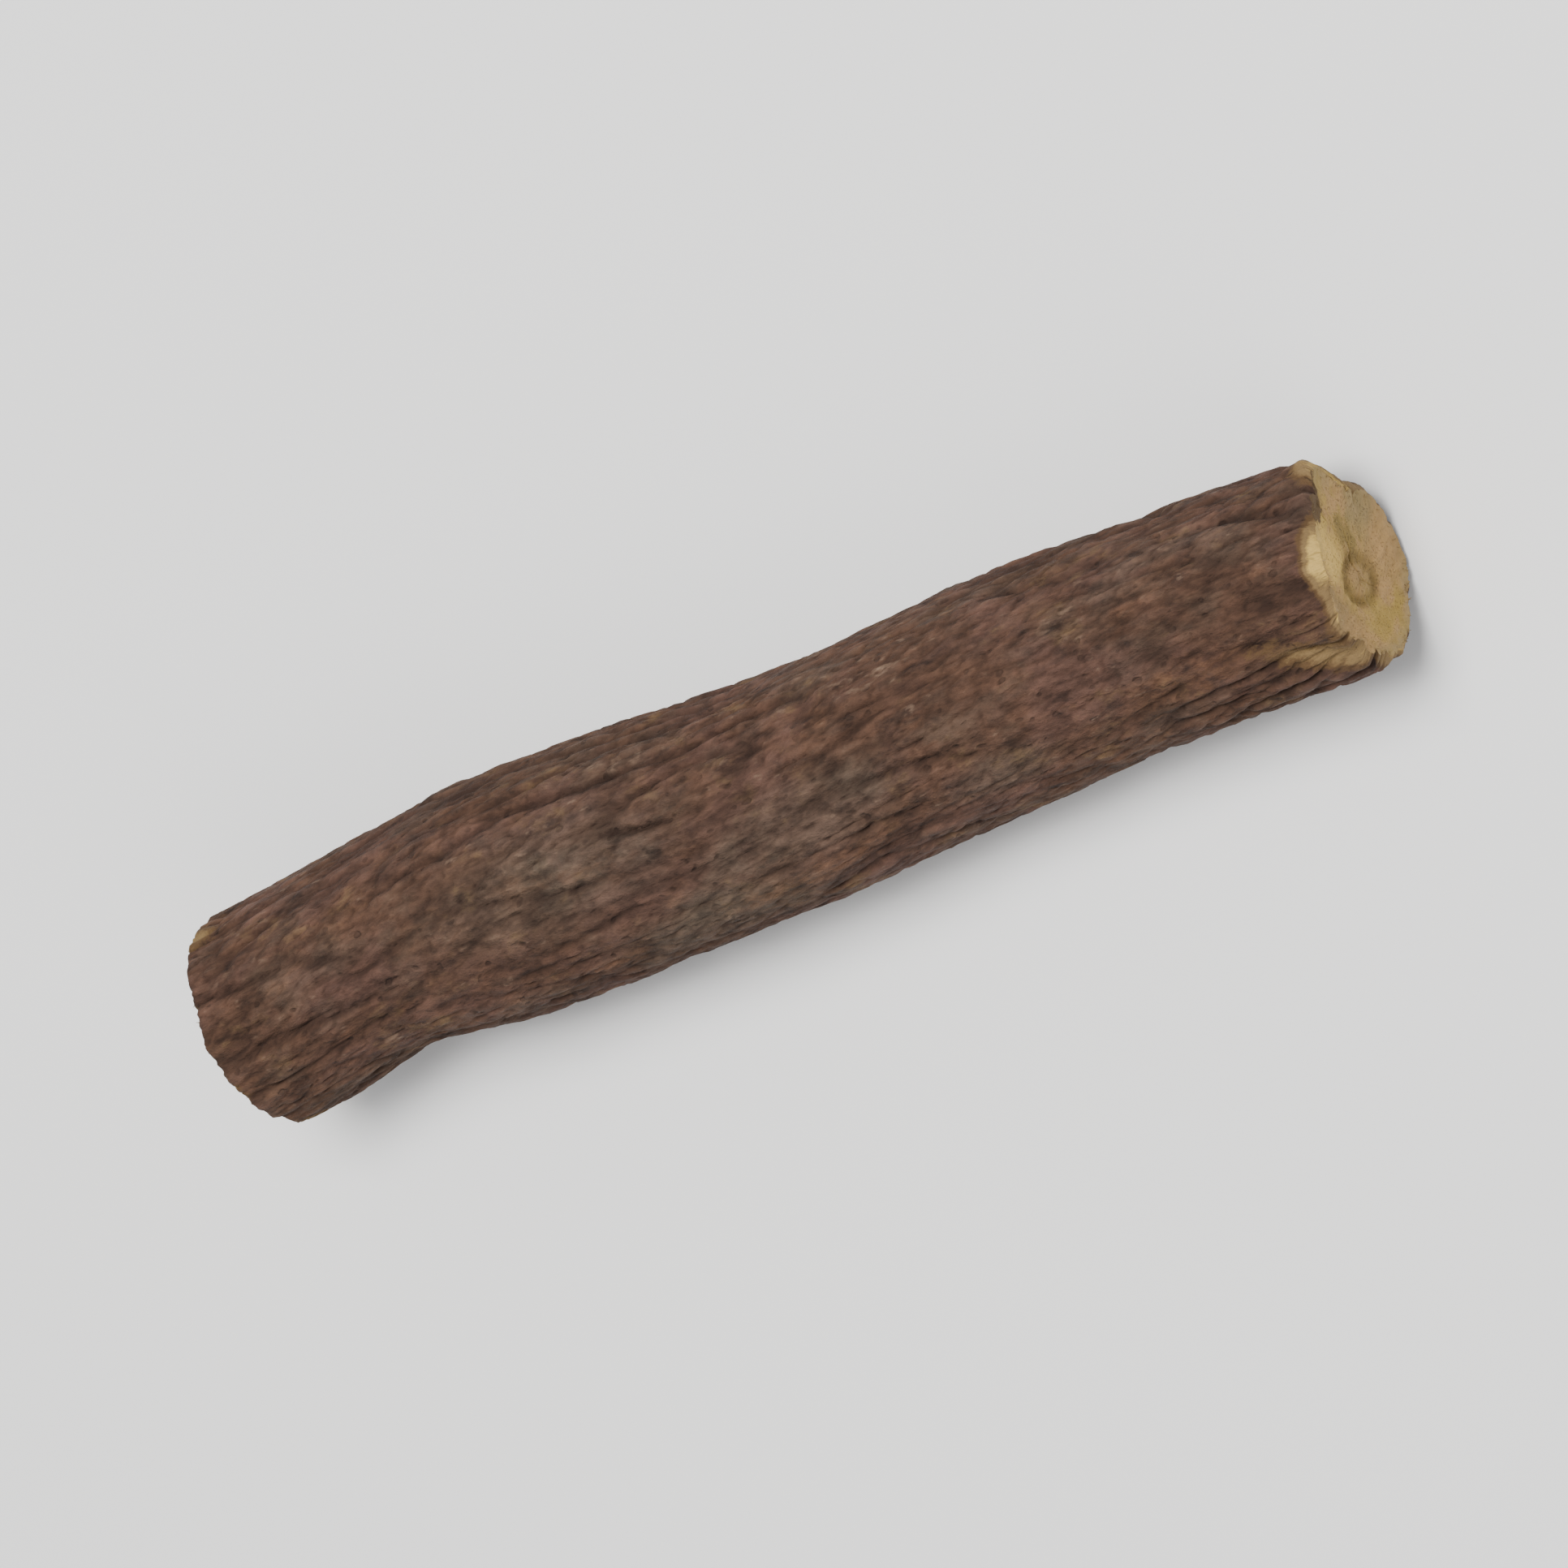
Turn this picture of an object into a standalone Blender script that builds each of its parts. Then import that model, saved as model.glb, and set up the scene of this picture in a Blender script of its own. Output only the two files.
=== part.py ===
"""A cut stick of licorice root, lying on its side.

It is one piece of grown root: wrinkled brown bark round pale yellow wood, sawn off at
both ends. +X runs along the root to the end with the ringed cut face, +Z is up, and
the origin lies on the surface below the middle of its box. Sizes are in metres.
"""

import math

import bmesh
import bpy
import numpy as np
from mathutils import Vector, noise

MM = 0.001

# Driving sizes of the whole stick
LENGTH = 70.7 * MM
GIRTH = 6.0 * MM  # the radius that the bark's patterns are laid out on

# Even stations from the far end to the ringed end, in millimetres
SIDE_BEND = (0.2, 0.9, 1.2, 0.8, 0.45, 0.85, 0.9, 0.75, 0.3)  # middle line towards +Y
HALF_WIDTH = (6.2, 6.3, 6.65, 6.5, 6.25, 6.15, 6.0, 5.75, 5.65)
HALF_HEIGHT = (5.8, 5.9, 6.15, 6.05, 5.85, 5.75, 5.7, 5.5, 5.35)
CLEARANCE = (0.7, 0.25, 0.0, 0.0, 0.0, 0.0, 0.0, 0.15, 0.4)  # belly above the surface

# The worn flat strip that it rests on
FLAT_DEPTH = 0.3 * MM
FLAT_CALM = math.radians(32)  # half the arc of the belly where the wrinkles fade out

# Wrinkles: (width, length, depth) of the furrows, and how far the grain winds
FURROWS = (1.9 * MM, 8.5 * MM, 0.27 * MM)
WRINKLES = (1.0 * MM, 4.2 * MM, 0.16 * MM)
LUMPS = (8.0 * MM, 12 * MM, 0.3 * MM)
FURROW_EDGE = 0.3  # share of the noise range that a furrow's slope takes
FURROW_VIGOUR = (0.8, 0.9)  # the wrinkles' strength, and how far the lumps change it
GRAIN_WIND = math.radians(0.55) / MM  # turn of the grain for each metre along the root

# The waist on the -Y side near the far end: place along, angle, depth, length, arc
WAIST = (0.13, math.radians(192), 0.75 * MM, 4.5 * MM, math.radians(48))

# Scars of broken side roots: place along, angle, size across, height
SCARS = (
    (0.30, math.radians(208), 1.5 * MM, 0.5 * MM),
    (0.67, math.radians(334), 1.8 * MM, 0.6 * MM),
    (0.84, math.radians(216), 1.3 * MM, 0.4 * MM),
    (0.13, math.radians(340), 1.3 * MM, 0.4 * MM),
)

# How the two saw cuts lean: change of X for each metre of Y and of Z
FAR_LEAN = (0.03, -0.14)
NEAR_LEAN = (0.03, 0.01)
LEAN_REACH = 6  # power that keeps a cut's lean close to its end
NEAR_NARROWS = 0.14  # how far the ringed end narrows in height towards +Y

# The rims of the cuts, and where they are broken away: angle, arc, size
RIM_ROUND = 0.35 * MM
RIM_CURVE = 1.6
NEAR_BREAKS = (
    (math.radians(-19), math.radians(31), 1.5 * MM),
    (math.radians(88), math.radians(24), 0.7 * MM),
    (math.radians(170), math.radians(9), 0.35 * MM),
    (math.radians(232), math.radians(14), 0.4 * MM),
)
FAR_BREAKS = (
    (math.radians(72), math.radians(13), 0.3 * MM),
    (math.radians(248), math.radians(16), 0.5 * MM),
    (math.radians(318), math.radians(15), 0.45 * MM),
)

# The splinter and the chip at the ringed end: angle, arc, height or depth, length
SPLINTER = (math.radians(21), math.radians(11), 0.45 * MM, 1.5 * MM)
CHIP = (math.radians(148), math.radians(11), 0.42 * MM, 3.0 * MM)
CHIP_BEHIND = 1.2 * MM  # where the chip is deepest, behind the rim
CHIP_SLANT = math.radians(-5.7) / MM  # how far the chip turns round the root as it runs back

# The cut faces
FACE_RINGS = (0.955, 0.84, 0.6, 0.37, 0.27, 0.15)  # rings as shares of the radius
FACE_DISH = 0.12 * MM
CORE_PLACE = (-1.0 * MM, 0.4 * MM)  # where the core lies off the middle, in Y and Z
CORE_RING = 0.27  # the sunken ring round the core, as a share of the radius
CORE_OVAL = (1.15, 0.9)  # how much sooner the ring comes going sideways, and going up
CORE_RING_WIDTH = 0.09
CORE_RING_DEPTH = 0.22 * MM
FACE_ROUGH = (1.3 * MM, 0.12 * MM)  # grain size and height of the sawn surface

# Facets
AROUND = 84
ALONG = 54
RINGS_CROWD = 0.6  # how far the rings crowd towards the cuts

BARK_COLOUR = (0.118, 0.066, 0.046, 1.0)
WOOD_COLOUR = (0.37, 0.26, 0.125, 1.0)


def new_material(name, colour, roughness):
    material = bpy.data.materials.new(name)
    material.use_nodes = True
    shader = material.node_tree.nodes["Principled BSDF"]
    shader.inputs["Base Color"].default_value = colour
    shader.inputs["Roughness"].default_value = roughness
    shader.inputs["Metallic"].default_value = 0.0
    return material


def along_stations(values, share):
    """A size read along a smooth curve through its even stations."""
    spans = len(values) - 1
    place = min(max(share, 0.0), 1.0) * spans
    i = min(int(place), spans - 1)
    f = place - i
    before, here = values[max(i - 1, 0)], values[i]
    after, beyond = values[i + 1], values[min(i + 2, spans)]
    curve = (
        2 * here
        + (after - before) * f
        + (2 * before - 5 * here + 4 * after - beyond) * f**2
        + (3 * here - before - 3 * after + beyond) * f**3
    )
    return curve / 2 * MM


def bump(distance, reach):
    """A rounded bump: 1 in the middle, dying away over its reach."""
    return math.exp(-((distance / reach) ** 2))


def turn_between(a, b):
    """The angle from b to a, between half a turn either way."""
    return (a - b + math.pi) % (2 * math.pi) - math.pi


def grain_noise(x, angle, width, length):
    """Noise drawn out along the grain, seamless round the root."""
    wound = angle + GRAIN_WIND * x
    reach = GIRTH / width
    return noise.noise(Vector((reach * math.cos(wound), reach * math.sin(wound), x / length)))


def furrow_relief(x, angle, size):
    """Rounded ridges between narrow furrows, from 0 down to the furrow's depth."""
    width, length, depth = size
    slope = min(abs(grain_noise(x, angle, width, length)) / FURROW_EDGE, 1.0)
    return depth * (math.sin(slope * math.pi / 2) - 1)


def bark_relief(x, angle):
    """How far the bark stands out from the root's smooth form."""
    width, length, depth = LUMPS
    lump = grain_noise(x, angle, width, length)
    vigour = FURROW_VIGOUR[0] + FURROW_VIGOUR[1] * lump
    wrinkles = furrow_relief(x, angle, FURROWS) + furrow_relief(x, angle, WRINKLES)
    return depth * lump + vigour * wrinkles


def belly_calm(angle):
    """0 under the belly, where the bark is worn, and 1 on the sides and top."""
    off = abs(turn_between(angle, -math.pi / 2)) / FLAT_CALM
    return min(off, 1.0) ** 2


def waist_relief(x, angle):
    share, middle, depth, length, arc = WAIST
    along = x - (share - 0.5) * LENGTH
    return -depth * bump(along, length) * bump(turn_between(angle, middle), arc)


def scar_relief(x, angle):
    """Low warts where side roots broke off."""
    total = 0.0
    for share, middle, size, height in SCARS:
        along = x - (share - 0.5) * LENGTH
        across = GIRTH * turn_between(angle, middle)
        total += height * bump(math.hypot(along, across), size)
    return total


def splinter_relief(x, angle):
    """The splinter that stands up from the ringed end's rim."""
    middle, arc, height, run = SPLINTER
    return height * bump(turn_between(angle, middle), arc) * bump(LENGTH / 2 - x, run)


def chip_relief(x, angle):
    """The long chip that is out of the bark behind the ringed end's rim."""
    middle, arc, deep, run = CHIP
    behind = LENGTH / 2 - x
    off = turn_between(angle, middle + CHIP_SLANT * behind)
    return deep * bump(off, arc) * bump(behind - CHIP_BEHIND, run)


def rim_loss(share, angle):
    """How much is gone near a cut, where its rim is rounded or broken away."""
    loss = RIM_ROUND
    for middle, arc, size in NEAR_BREAKS if share > 0.5 else FAR_BREAKS:
        loss += size * bump(turn_between(angle, middle), arc)
    end_gap = min(share, 1 - share) * LENGTH
    return loss * max(1 - end_gap / loss, 0.0) ** RIM_CURVE


def face_relief(rho, angle, y, z):
    """How far a cut face stands out along the root, at a share of the radius."""
    grain, height = FACE_ROUGH
    rough = height * noise.noise(Vector((y / grain, z / grain, 0.0)))
    oval = rho * math.hypot(CORE_OVAL[0] * math.cos(angle), CORE_OVAL[1] * math.sin(angle))
    ring = CORE_RING_DEPTH * bump(oval - CORE_RING, CORE_RING_WIDTH)
    return rough - ring - FACE_DISH * (1 - rho**2)


def root_point(share, angle, rho):
    """A point of the root: share of the length, angle round it, and share of the radius."""
    x = (share - 0.5) * LENGTH
    step = 0.5 / (len(SIDE_BEND) - 1)
    ahead, behind = min(share + step, 1.0), max(share - step, 0.0)
    rise = along_stations(SIDE_BEND, ahead) - along_stations(SIDE_BEND, behind)
    heading = math.atan2(rise, (ahead - behind) * LENGTH)
    near, far = share**LEAN_REACH, (1 - share) ** LEAN_REACH

    out = bark_relief(x, angle) * belly_calm(angle) + waist_relief(x, angle)
    out += scar_relief(x, angle) + splinter_relief(x, angle)
    out -= chip_relief(x, angle) + rim_loss(share, angle)
    out *= rho**4
    wide = rho * along_stations(HALF_WIDTH, share) + out
    tall = rho * along_stations(HALF_HEIGHT, share)
    tall = tall * (1 - NEAR_NARROWS * near * math.cos(angle)) + out
    across = wide * math.cos(angle) + CORE_PLACE[0] * (1 - rho**2)
    up = tall * math.sin(angle) + CORE_PLACE[1] * (1 - rho**2)

    face = face_relief(rho, angle, across, up) if rho < 1 else 0.0
    lean_y = near * NEAR_LEAN[0] + far * FAR_LEAN[0]
    lean_z = near * NEAR_LEAN[1] + far * FAR_LEAN[1]
    middle = along_stations(HALF_HEIGHT, share) + along_stations(CLEARANCE, share) - FLAT_DEPTH
    return Vector(
        (
            x - across * math.sin(heading) + lean_y * across + lean_z * up + (near - far) * face,
            along_stations(SIDE_BEND, share) + across * math.cos(heading),
            max(middle + up, 0.0),
        )
    )


def ringed_cylinder():
    """A unit cylinder along Z with rings along its side and rings in its two ends."""
    bm = bmesh.new()
    bmesh.ops.create_cone(
        bm, cap_ends=True, segments=AROUND, radius1=1.0, radius2=1.0, depth=1.0
    )
    rails = [e for e in bm.edges if abs(e.verts[0].co.z - e.verts[1].co.z) > 0.5]
    bmesh.ops.subdivide_edges(bm, edges=rails, cuts=ALONG - 1, use_grid_fill=True)
    cuts = [f for f in bm.faces if len(f.verts) == AROUND]
    for cut in cuts:
        cut.material_index = 1
        before = 1.0
        for ring in FACE_RINGS:
            step = before - ring
            rim = bmesh.ops.inset_region(bm, faces=[cut], thickness=step, use_even_offset=False)
            for made in rim["faces"]:
                made.material_index = 1
            before = ring
        bmesh.ops.poke(bm, faces=[cut])
    return bm


def crowded_to_the_cuts(share):
    """Draws the rings of the bark together towards the two cuts."""
    return share + RINGS_CROWD * (0.5 - 0.5 * math.cos(math.pi * share) - share)


def licorice_root():
    bm = ringed_cylinder()
    for vert in bm.verts:
        share = min(max(crowded_to_the_cuts(vert.co.z + 0.5), 0.0), 1.0)
        rho = math.hypot(vert.co.x, vert.co.y)
        vert.co = root_point(share, math.atan2(vert.co.y, vert.co.x), min(rho, 1.0))
    mesh = bpy.data.meshes.new("licorice_root")
    bm.to_mesh(mesh)
    bm.free()
    mesh.materials.append(new_material("bark", BARK_COLOUR, 0.85))
    mesh.materials.append(new_material("cut_wood", WOOD_COLOUR, 0.8))
    mesh.shade_smooth()
    mesh.set_sharp_from_angle(angle=math.radians(50))
    return mesh


def centred(mesh):
    """Moves the mesh so that the origin is below the middle of its box."""
    points = np.empty(len(mesh.vertices) * 3)
    mesh.vertices.foreach_get("co", points)
    points = points.reshape(-1, 3)
    middle = (points.min(axis=0) + points.max(axis=0)) / 2
    points -= (middle[0], middle[1], 0.0)
    mesh.vertices.foreach_set("co", points.ravel())
    mesh.update()
    return mesh


for leftover in list(bpy.data.objects):
    bpy.data.objects.remove(leftover)

group = bpy.data.collections.new("licorice_root")
bpy.context.scene.collection.children.link(group)
root = bpy.data.objects.new("licorice_root", centred(licorice_root()))
group.objects.link(root)
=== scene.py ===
"""A cut stick of licorice root as it looks: wrinkled brown bark round sawn yellow wood.

+X runs along the root to the end with the ringed cut face, and +Z is up. Sizes are in
metres where they are written with MM, and otherwise as their comments say. The bark's
patterns read places in millimetres, and the cut faces' patterns read shares of the radius.
"""

import math
import random

import bmesh
import bpy
import numpy as np
from mathutils import Matrix, Vector, noise


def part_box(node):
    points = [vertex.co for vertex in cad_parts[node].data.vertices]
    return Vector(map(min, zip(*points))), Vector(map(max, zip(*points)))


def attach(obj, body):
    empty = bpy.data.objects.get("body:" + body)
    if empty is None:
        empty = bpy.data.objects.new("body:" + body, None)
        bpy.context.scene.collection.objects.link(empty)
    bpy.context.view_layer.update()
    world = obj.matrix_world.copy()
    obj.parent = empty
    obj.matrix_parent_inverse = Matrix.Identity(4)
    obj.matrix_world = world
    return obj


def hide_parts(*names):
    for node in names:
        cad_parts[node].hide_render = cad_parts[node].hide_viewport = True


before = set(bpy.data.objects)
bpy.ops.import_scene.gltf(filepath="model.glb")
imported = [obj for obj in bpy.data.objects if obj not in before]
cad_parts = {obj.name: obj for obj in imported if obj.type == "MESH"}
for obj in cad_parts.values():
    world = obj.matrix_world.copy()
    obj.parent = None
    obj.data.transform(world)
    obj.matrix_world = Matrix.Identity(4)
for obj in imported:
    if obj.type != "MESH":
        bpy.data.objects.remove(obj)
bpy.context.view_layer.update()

MM = 0.001

# Driving sizes of the whole stick
LENGTH = 70.7 * MM
GIRTH = 6.0 * MM  # the radius that the bark's patterns are laid out on

# Even stations from the far end to the ringed end, in millimetres
SIDE_BEND = (0.2, 0.9, 1.2, 0.8, 0.45, 0.85, 0.9, 0.75, 0.3)  # middle line towards +Y
HALF_WIDTH = (6.2, 6.3, 6.65, 6.5, 6.25, 6.15, 6.0, 5.75, 5.65)
HALF_HEIGHT = (5.8, 5.9, 6.15, 6.05, 5.85, 5.75, 5.7, 5.5, 5.35)
CLEARANCE = (0.7, 0.25, 0.0, 0.0, 0.0, 0.0, 0.0, 0.15, 0.4)  # belly above the surface

# The worn flat strip that it rests on
FLAT_DEPTH = 0.3 * MM
BELLY = -math.pi / 2
FLAT_CALM = math.radians(32)  # half the arc of the belly where the wrinkles fade out

# Wrinkles: (width, length, depth) of the furrows, and how far the grain winds
FURROWS = (1.9 * MM, 8.5 * MM, 0.27 * MM)
WRINKLES = (1.0 * MM, 4.2 * MM, 0.16 * MM)
GROOVES = (1.3 * MM, 6.5 * MM, 0.09 * MM)  # only towards the two ends
GROOVES_FROM = 0.32 * LENGTH  # how far from the middle the grooves have their full depth
FINE_WRINKLES = (0.52 * MM, 1.5 * MM, 0.10 * MM)
CRUMBS = (0.42 * MM, 0.8 * MM, 0.06 * MM)
LUMPS = (8.0 * MM, 12 * MM, 0.3 * MM)
FURROW_EDGE = 0.3  # share of the noise range that a furrow's slope takes
FURROW_VIGOUR = (0.8, 0.9)  # the wrinkles' strength, and how far the lumps change it
GRAIN_WIND = math.radians(0.55) / MM  # turn of the grain for each metre along the root
RELIEF_FADE = 4  # power that the bark's relief fades by towards the middle of a cut face

# The waist on the -Y side near the far end: place along, angle, depth, length, arc
WAIST = (0.13, math.radians(192), 0.75 * MM, 4.5 * MM, math.radians(48))

# Scars of broken side roots: place along, angle, size across, height
SCARS = (
    (0.30, math.radians(208), 1.5 * MM, 0.5 * MM),
    (0.67, math.radians(334), 1.8 * MM, 0.6 * MM),
    (0.84, math.radians(216), 1.3 * MM, 0.4 * MM),
    (0.13, math.radians(340), 1.3 * MM, 0.4 * MM),
)
SCAR_HOLLOW = (0.7, 0.32)  # depth and width of a scar's sunken tip, as shares of the scar's
SCAR_BARED = 0.75  # the part of a scar that is rubbed pale, as a share of its size

# How the two saw cuts lean: change of X for each metre of Y and of Z
FAR_LEAN = (0.03, -0.14)
NEAR_LEAN = (0.03, 0.01)
LEAN_REACH = 6  # power that keeps a cut's lean close to its end
NEAR_NARROWS = 0.14  # how far the ringed end narrows in height towards +Y

# The rims of the cuts, and where they are broken away: angle, arc, size
RIM_ROUND = 0.35 * MM
RIM_CURVE = 1.6  # power that the rounding dies away by, back from the rim
RIM_JAGS = (0.9 * MM, 0.22 * MM)  # width and size of the small nicks round a rim
NEAR_BREAKS = (
    (math.radians(-19), math.radians(31), 1.5 * MM),
    (math.radians(88), math.radians(24), 0.7 * MM),
    (math.radians(170), math.radians(9), 0.35 * MM),
    (math.radians(232), math.radians(14), 0.4 * MM),
)
FAR_BREAKS = (
    (math.radians(72), math.radians(13), 0.3 * MM),
    (math.radians(248), math.radians(16), 0.5 * MM),
    (math.radians(318), math.radians(15), 0.45 * MM),
)

# The splinter and the chip at the ringed end: angle, arc, height or depth, length
SPLINTER = (math.radians(21), math.radians(11), 0.45 * MM, 1.5 * MM)
CHIP = (math.radians(148), math.radians(11), 0.42 * MM, 3.0 * MM)
CHIP_BEHIND = 1.2 * MM  # where the chip is deepest, behind the rim
CHIP_SLANT = math.radians(-5.7) / MM  # how far the chip turns round the root as it runs back
CHIP_PALES = 0.57  # the most that the chip pales the bark, in millimetres gone
SPLINTER_PALES = 0.7  # how far the splinter pales it, for each millimetre of its height
RIM_PALES = 0.38  # the most that a rim's own wear pales it, in millimetres gone

# Where the bark is rubbed off the rims: angle, arc, reach back, millimetres gone
NEAR_BARED = (
    (math.radians(23), math.radians(13), 1.3 * MM, 0.45),
    (math.radians(80), math.radians(20), 0.9 * MM, 0.65),
    (math.radians(118), math.radians(14), 0.9 * MM, 0.40),
    (math.radians(151), math.radians(10), 2.6 * MM, 0.10),
    (math.radians(190), math.radians(18), 0.9 * MM, 0.50),
    (math.radians(-14), math.radians(28), 1.2 * MM, 0.45),
)
FAR_BARED = (
    (math.radians(172), math.radians(13), 1.8 * MM, 0.60),
    (math.radians(31), math.radians(9), 2.1 * MM, 0.58),
    (math.radians(122), math.radians(12), 0.8 * MM, 0.40),
)

# The cut faces, and their rings of vertices as shares of the radius
FACE_RINGS = (0.985, 0.965, 0.94, 0.9, 0.86, 0.82, 0.76, 0.69, 0.62, 0.55, 0.48, 0.41)
CORE_RINGS = (0.355, 0.31, 0.27, 0.23, 0.185, 0.13, 0.07)
FACE_DISH = 0.12 * MM
CORE_PLACE = (-1.0 * MM, 0.4 * MM)  # where the core lies off the middle, in Y and Z
CORE_RING = 0.27  # the sunken ring round the core, as a share of the radius
CORE_OVAL = (1.35, 0.9)  # how much sooner the ring comes going sideways, and going up
CORE_RING_WIDTH = 0.09  # as a share of the radius
CORE_RING_DEPTH = 0.22 * MM
FACE_ROUGH = (1.3 * MM, 0.12 * MM)  # grain size and height of the sawn surface
FACE_FIBRES = (0.35 * MM, 0.07 * MM)  # grain size and height of the sawn fibres
FACES_APART = 7.0  # sets the fibres of the two faces apart in their noise
SAW_MARKS = (0.7 * MM, 0.03 * MM, math.radians(24))  # spacing, height, and turn round X
SAW_WAVER = (2.5, 3 * MM)  # how far the saw marks waver, in radians, and over what size
INNER_BARK = 0.8  # where the wood meets the inner bark, as a share of the radius

# Drying cracks from the middle of a face: angle, and reach as a share of the radius
CRACKS = ((math.radians(5), 0.5), (math.radians(139), 0.42), (math.radians(248), 0.6))
CRACKS_TURN = math.radians(14)  # half the turn between the two faces' cracks
CRACK_WIDTH = 0.07 * MM
CRACK_DEPTH = 0.08 * MM

# Bark left over the ringed face: angle, arc, and reach as a share of the radius
BARK_LIP = (math.radians(42), math.radians(15), 0.28)

# Torn fibres at the rims: the end along X, and how many stand there
RIM_FIBRES = ((1, 56), (-1, 48))
FIBRE_SIDES = 5
FIBRE_THICK = 0.08 * MM
FIBRE_TAPER = 0.25  # thickness of a fibre's tip, as a share of its foot's
FIBRE_LENGTH = (0.13 * MM, 0.32 * MM)
FIBRE_PLACE = (0.9, 0.99)  # shares of the radius
FIBRE_OUTWARD = (-0.3, 0.6)  # how far fibres lean out from the middle, for each length along X
FIBRE_SIDEWAYS = (-0.9, 0.9)
FIBRE_SUNK = 0.06 * MM  # how deep a fibre's foot sits in the wood
FIBRE_SEED = 7

# Vertices round the finished root, and the bands along it with the rings in each
AROUND = 330
BANDS = 24
RINGS_IN_BAND = 10
RINGS_CROWD = 0.35  # how far the rings crowd towards the cuts
SHARP_FROM = math.radians(62)  # edges that turn further than this are shaded sharp
BARK_SLOT, WOOD_SLOT = 0, 1

# Rubbed and stained places of the bark: share along, degrees round it, and length and
# width in millimetres
WORN = (
    (0.63, 52, 3.0, 1.1),
    (0.80, 64, 2.2, 0.8),
    (0.42, 44, 3.4, 0.7),
    (0.03, 60, 1.2, 0.8),
    (0.13, 140, 1.3, 0.6),
    (0.50, 232, 4.0, 1.2),
    (0.74, 300, 3.2, 1.0),
    (0.30, 318, 2.6, 0.9),
)
GREYED = (
    (0.54, 107, 7.0, 2.6),
    (0.33, 88, 9.0, 3.2),
    (0.44, 140, 8.0, 2.4),
    (0.70, 128, 3.6, 1.5),
    (0.44, 215, 8.0, 2.6),
    (0.60, 330, 8.0, 2.8),
)
RUSTY = (
    (0.52, 135, 5.5, 0.7),
    (0.87, 119, 3.6, 1.5),
    (0.33, 146, 3.5, 0.8),
    (0.60, 215, 5.0, 0.9),
    (0.20, 300, 4.0, 1.0),
)

# The photograph's view: how far up the camera stands on the ringed end's side, and how
# far the root's line rises to the right across the picture
VIEW_ELEVATION = math.radians(60)
VIEW_ROLL = math.radians(22.7)
VIEW_DISTANCE = 0.5
VIEW_WIDTH = 0.0815  # the width that the picture takes in at the root
VIEW_NEAREST = 0.005  # nothing nearer to the camera than this is drawn


# Shape

def along_stations(values, share):
    """A size read along a smooth curve through its even stations."""
    spans = len(values) - 1
    place = min(max(share, 0.0), 1.0) * spans
    i = min(int(place), spans - 1)
    f = place - i
    before, here = values[max(i - 1, 0)], values[i]
    after, beyond = values[i + 1], values[min(i + 2, spans)]
    curve = (
        2 * here
        + (after - before) * f
        + (2 * before - 5 * here + 4 * after - beyond) * f**2
        + (3 * here - before - 3 * after + beyond) * f**3
    )
    return curve / 2 * MM


def bump(distance, reach):
    """A rounded bump: 1 in the middle, dying away over its reach."""
    return math.exp(-((distance / reach) ** 2))


def turn_between(a, b):
    """The angle from b to a, between half a turn either way."""
    return (a - b + math.pi) % (2 * math.pi) - math.pi


def grain_noise(x, angle, width, length):
    """Noise drawn out along the grain, seamless round the root."""
    wound = angle + GRAIN_WIND * x
    reach = GIRTH / width
    return noise.noise(Vector((reach * math.cos(wound), reach * math.sin(wound), x / length)))


def furrow_relief(x, angle, size):
    """Rounded ridges between narrow furrows, from 0 down to the furrow's depth."""
    width, length, depth = size
    slope = min(abs(grain_noise(x, angle, width, length)) / FURROW_EDGE, 1.0)
    return depth * (math.sin(slope * math.pi / 2) - 1)


def belly_calm(angle):
    """0 under the belly, where the bark is worn, and 1 on the sides and top."""
    off = abs(turn_between(angle, BELLY)) / FLAT_CALM
    return min(off, 1.0) ** 2


def bark_relief(x, angle):
    """How far the bark stands out, and how near this is to a wide and a fine ridge's top."""
    width, length, depth = LUMPS
    calm = belly_calm(angle)
    lump = grain_noise(x, angle, width, length)
    vigour = (FURROW_VIGOUR[0] + FURROW_VIGOUR[1] * lump) * calm
    wrinkles = vigour * (furrow_relief(x, angle, FURROWS) + furrow_relief(x, angle, WRINKLES))
    grooves = calm * min(abs(x) / GROOVES_FROM, 1.0) ** 2 * furrow_relief(x, angle, GROOVES)
    wrinkles += grooves
    fine = calm * furrow_relief(x, angle, FINE_WRINKLES)
    width, length, size = CRUMBS
    crumbs = calm * size * grain_noise(x, angle, width, length)
    ridge = 1 + wrinkles / (FURROWS[2] + WRINKLES[2])
    fine_ridge = 1 + fine / FINE_WRINKLES[2]
    return depth * lump * calm + wrinkles + fine + crumbs, ridge, fine_ridge


def waist_relief(x, angle):
    share, middle, depth, length, arc = WAIST
    along = x - (share - 0.5) * LENGTH
    return -depth * bump(along, length) * bump(turn_between(angle, middle), arc)


def scar_relief(x, angle):
    """The height of the warts where side roots broke off, and how near one's middle is."""
    height_here, closeness = 0.0, 0.0
    deep, wide = SCAR_HOLLOW
    for share, middle, size, height in SCARS:
        off = math.hypot(x - (share - 0.5) * LENGTH, GIRTH * turn_between(angle, middle))
        height_here += height * (bump(off, size) - deep * bump(off, size * wide))
        closeness = max(closeness, bump(off, size * SCAR_BARED))
    return height_here, closeness


def splinter_relief(x, angle):
    """The splinter that stands up from the ringed end's rim."""
    middle, arc, height, run = SPLINTER
    return height * bump(turn_between(angle, middle), arc) * bump(LENGTH / 2 - x, run)


def chip_relief(x, angle):
    """The long chip that is out of the bark behind the ringed end's rim."""
    middle, arc, deep, run = CHIP
    behind = LENGTH / 2 - x
    off = turn_between(angle, middle + CHIP_SLANT * behind)
    return deep * bump(off, arc) * bump(behind - CHIP_BEHIND, run)


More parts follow.
